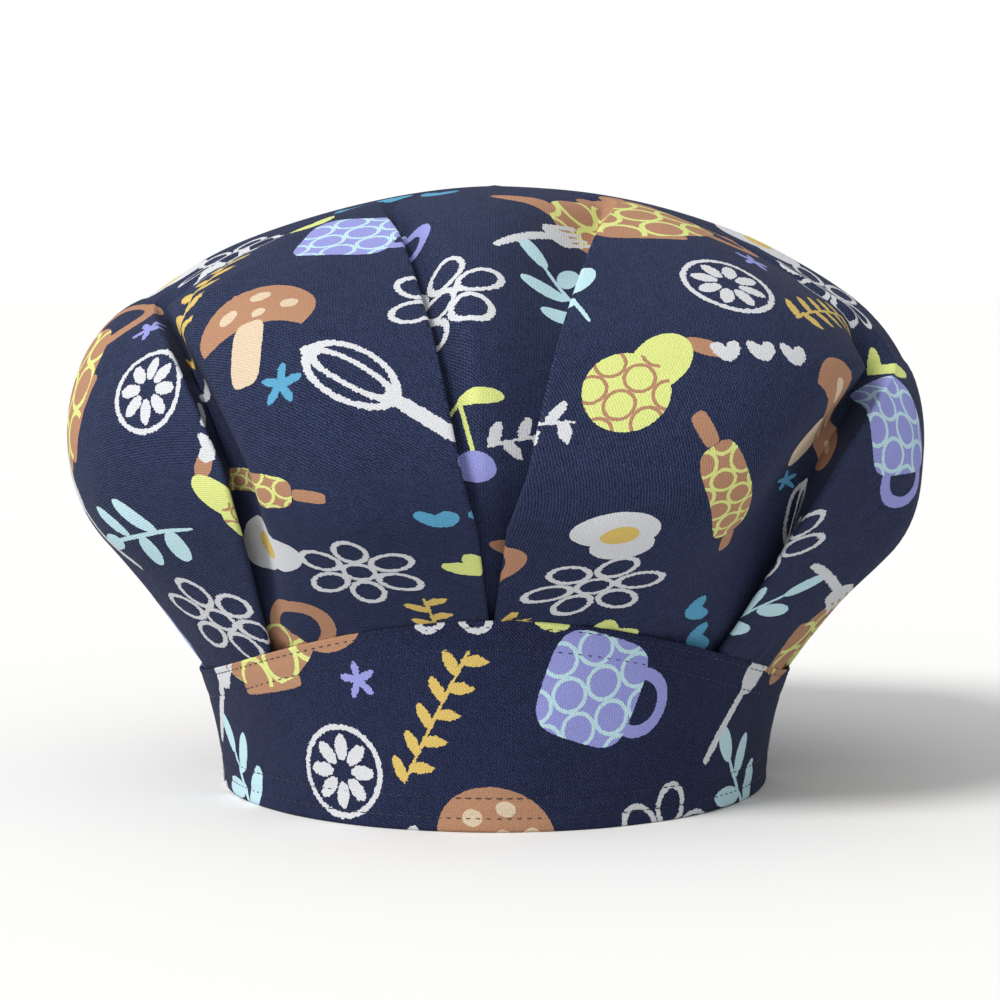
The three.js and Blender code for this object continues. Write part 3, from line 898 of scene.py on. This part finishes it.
# sin(turn . cloth + amount * noise), lines of the weave that wander
def wave(tree, cloth, turn, noise, amount):
    vector, number = "ShaderNodeVectorMath", "ShaderNodeMath"
    along = addNode(tree, vector, {0: cloth, 1: turn}, operation="DOT_PRODUCT").outputs["Value"]
    inputs = {0: noise.outputs[0], 1: amount, 2: along}
    phase = addNode(tree, number, inputs, operation="MULTIPLY_ADD")
    return addNode(tree, number, {0: phase}, operation="SINE")


# Height of the weave: diagonal ribs, sin(2 pi (x + y) / (pitch sqrt 2) + wander * noise), the
# threads across them in the same way, and loose fibres, share * (noise - 1/2)
def addWeave(tree, cloth):
    number = "ShaderNodeMath"
    wander = addNoise(tree, cloth, twill["wanderSize"], 2.0)
    turn = 2 * math.pi / (twill["ribPitch"] * math.sqrt(2))
    rib = wave(tree, cloth, (turn, turn, 0.0), wander, twill["ribWander"])
    turn = 2 * math.pi / twill["threadPitch"]
    thread = wave(tree, cloth, (turn, 0.0, 0.0), wander, twill["threadWander"])
    lines = {0: thread, 1: twill["threadShare"], 2: rib}
    weave = addNode(tree, number, lines, operation="MULTIPLY_ADD")
    fibres = addNoise(tree, cloth, twill["grainSize"], 1.0)
    loose = {0: fibres, 1: twill["grainShare"], 2: weave}
    weave = addNode(tree, number, loose, operation="MULTIPLY_ADD")
    return addNode(tree, number, {0: weave, 1: twill["grainShare"] / 2}, operation="SUBTRACT")


def makeTwill(name, printGroup, face):
    ground, ribTone, shown = twill[face]
    material = bpy.data.materials.new(name)
    material.use_nodes = True
    tree = material.node_tree
    tree.nodes.clear()
    vector, number = "ShaderNodeVectorMath", "ShaderNodeMath"
    uv = addNode(tree, "ShaderNodeUVMap", {}, uv_map="cloth")
    # cloth coordinates (x mm, y mm, 1), so that a dot product can also shift
    cloth = addNode(tree, vector, {0: uv, 1: (1 / mm, 1 / mm, 0.0)}, operation="MULTIPLY")
    cloth = addNode(tree, vector, {0: cloth, 1: (0.0, 0.0, 1.0)}, operation="ADD").outputs[0]
    weave = addWeave(tree, cloth)
    slub = addNoise(tree, cloth, twill["slubSize"], 5.0, roughness=0.7)

    least, weaveTone, slubTone = twill["tone"]
    light = addNode(tree, number, {0: weave, 1: weaveTone, 2: least}, operation="MULTIPLY_ADD")
    light = addNode(
        tree, number, {0: slub.outputs[0], 1: slubTone, 2: light},
        operation="MULTIPLY_ADD", use_clamp=True,
    )
    tones = {0: light, 6: linear(ground), 7: linear(ribTone)}
    cloths = addNode(tree, "ShaderNodeMix", tones, data_type="RGBA").outputs[2]

    printed = addNode(tree, "ShaderNodeGroup", {}, node_tree=printGroup)
    edges = strayed(tree, cloth, twill["inkGrain"], twill["inkWander"], 1.0)
    brushed = strayed(tree, cloth, twill["brushGrain"], twill["brushWander"], 3.0)
    tree.links.new(edges, printed.inputs[0])
    tree.links.new(brushed, printed.inputs[1])
    tree.links.new(cloths, printed.inputs[2])
    colour = addNode(
        tree, "ShaderNodeMix", {0: shown, 6: cloths, 7: printed.outputs[0]}, data_type="RGBA"
    ).outputs[2]
    even, change = twill["inkTone"]
    shade = addNode(tree, number, {0: weave, 1: change, 2: even}, operation="MULTIPLY_ADD")
    shaded = addNode(tree, vector, {0: colour, "Scale": shade.outputs[0]}, operation="SCALE")

    relief = {0: slub, 1: twill["slubBump"], 2: weave}
    height = addNode(tree, number, relief, operation="MULTIPLY_ADD")
    bump = addNode(tree, "ShaderNodeBump", {
        "Strength": twill["bump"],
        "Distance": twill["bumpHeight"],
        "Height": height.outputs[0],
    })
    surface = addNode(tree, "ShaderNodeBsdfPrincipled", {
        "Base Color": shaded.outputs[0],
        "Roughness": twill["roughness"],
        "Specular IOR Level": twill["specular"],
        "Sheen Weight": twill["sheen"],
        "Normal": bump.outputs[0],
    })
    out = tree.nodes.new("ShaderNodeOutputMaterial")
    tree.links.new(surface.outputs[0], out.inputs[0])
    return material


# Polyester-cotton sewing thread: near black navy, with a slight gloss along the ply
sewingThread = {
    "hollow": "#0b0e1d",
    "ply": "#1b2038",
    "plySize": 0.4,  # mm
    "bump": 0.3,
    "bumpHeight": 0.00005,  # metres
    "roughness": 0.5,
}


def makeThread():
    s = sewingThread
    material = bpy.data.materials.new("sewing thread")
    material.use_nodes = True
    tree = material.node_tree
    tree.nodes.clear()
    place = addNode(tree, "ShaderNodeTexCoord", {})
    ply = addNoise(tree, place.outputs["Object"], s["plySize"] * mm, 1.0)
    tones = {0: ply.outputs[0], 6: linear(s["hollow"]), 7: linear(s["ply"])}
    colour = addNode(tree, "ShaderNodeMix", tones, data_type="RGBA").outputs[2]
    bump = addNode(tree, "ShaderNodeBump", {
        "Strength": s["bump"],
        "Distance": s["bumpHeight"],
        "Height": ply.outputs[0],
    })
    surface = addNode(tree, "ShaderNodeBsdfPrincipled", {
        "Base Color": colour, "Roughness": s["roughness"], "Normal": bump.outputs[0],
    })
    out = tree.nodes.new("ShaderNodeOutputMaterial")
    tree.links.new(surface.outputs[0], out.inputs[0])
    return material


# Camera, light and floor, in metres and degrees. The light is a white room, brightest to the upper
# left in front, and one soft sun from there.
studio = {
    "lens": 112.3,
    "cameraAway": 1.0,
    "cameraHeight": 0.1736,
    "cameraSide": 0.0017,
    "cameraPitch": 4.81,
    "room": "#ffffff",
    "roomStrength": 0.55,
    "roomSlope": (-0.38, -0.2, 0.28),  # change of the strength over each direction
    "horizon": (0.1, 0.3),  # the room is plain white below, and sloped above these heights
    "sun": "#fffdfa",
    "sunStrength": 2.6,
    "sunHeight": 44,
    "sunFromLeft": 48,
    "sunWidth": 18,
    "floor": "#e3e3e3",
    "floorRoughness": 0.9,
    "floorHalf": 8.0,
}


def makeStudio():
    scene = bpy.context.scene
    s = studio
    data = bpy.data.cameras.new("camera")
    data.lens = s["lens"]
    data.sensor_width = 36
    camera = bpy.data.objects.new("camera", data)
    camera.location = middle + np.array([s["cameraSide"], -s["cameraAway"], s["cameraHeight"]])
    camera.rotation_euler = ((90 - s["cameraPitch"]) * degree, 0, 0)
    scene.collection.objects.link(camera)
    scene.camera = camera

    world = bpy.data.worlds.new("white room")
    world.use_nodes = True
    tree = world.node_tree
    toward = addNode(tree, "ShaderNodeTexCoord", {}).outputs["Generated"]
    slope = addNode(
        tree, "ShaderNodeVectorMath", {0: toward, 1: s["roomSlope"]}, operation="DOT_PRODUCT"
    )
    strength = addNode(
        tree, "ShaderNodeMath", {0: slope.outputs["Value"], 1: s["roomStrength"]}, operation="ADD"
    )
    upward = addNode(tree, "ShaderNodeSeparateXYZ", {0: toward}).outputs[2]
    low, high = s["horizon"]
    above = addNode(
        tree, "ShaderNodeMapRange", {"Value": upward, "From Min": low, "From Max": high},
        interpolation_type="SMOOTHSTEP",
    )
    lit = addNode(tree, "ShaderNodeMix", {0: above, 2: 1.0, 3: strength}, data_type="FLOAT")
    background = tree.nodes["Background"]
    background.inputs["Color"].default_value = linear(s["room"])
    tree.links.new(lit.outputs[0], background.inputs["Strength"])
    scene.world = world
    scene.view_settings.view_transform = "Standard"  # whites stay white

    light = bpy.data.lights.new("sun", "SUN")
    light.energy = s["sunStrength"]
    light.angle = s["sunWidth"] * degree
    light.color = linear(s["sun"])[:3]
    sun = bpy.data.objects.new("sun", light)
    sun.rotation_euler = ((90 - s["sunHeight"]) * degree, 0, -s["sunFromLeft"] * degree)
    scene.collection.objects.link(sun)

    half = s["floorHalf"]
    corners = np.array([[-half, -half, 0], [half, -half, 0], [half, half, 0], [-half, half, 0]])
    paper = bpy.data.materials.new("white studio paper")
    paper.use_nodes = True
    shader = paper.node_tree.nodes["Principled BSDF"]
    shader.inputs["Base Color"].default_value = linear(s["floor"])
    shader.inputs["Roughness"].default_value = s["floorRoughness"]
    floor = makeMesh("floor", corners, [np.arange(4)[None]], corners[:, :2], [paper])


makeStudio()
print("studio ready")
printGroup = makePrintGroup()
printedTwill = makeTwill("printed cotton twill", printGroup, "crown")
# the band's twill, darker than the crown's: painted shade
bandTwill = makeTwill("printed cotton twill, band, painted shade", printGroup, "band")
wrongSideTwill = makeTwill("printed cotton twill, wrong side", printGroup, "wrongSide")
thread = makeThread()
print("materials ready")

crown = makeCrown([printedTwill, wrongSideTwill])
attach(crown, "root")
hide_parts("crown")
print("crown ready:", len(crown.data.polygons), "faces")

band = makeBand([bandTwill])
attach(band, "root")
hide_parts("band")
print("band ready:", len(band.data.polygons), "faces")

stitches = makeStitches(thread)
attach(stitches, "root")
print("stitches ready:", len(stitches.data.polygons), "faces")
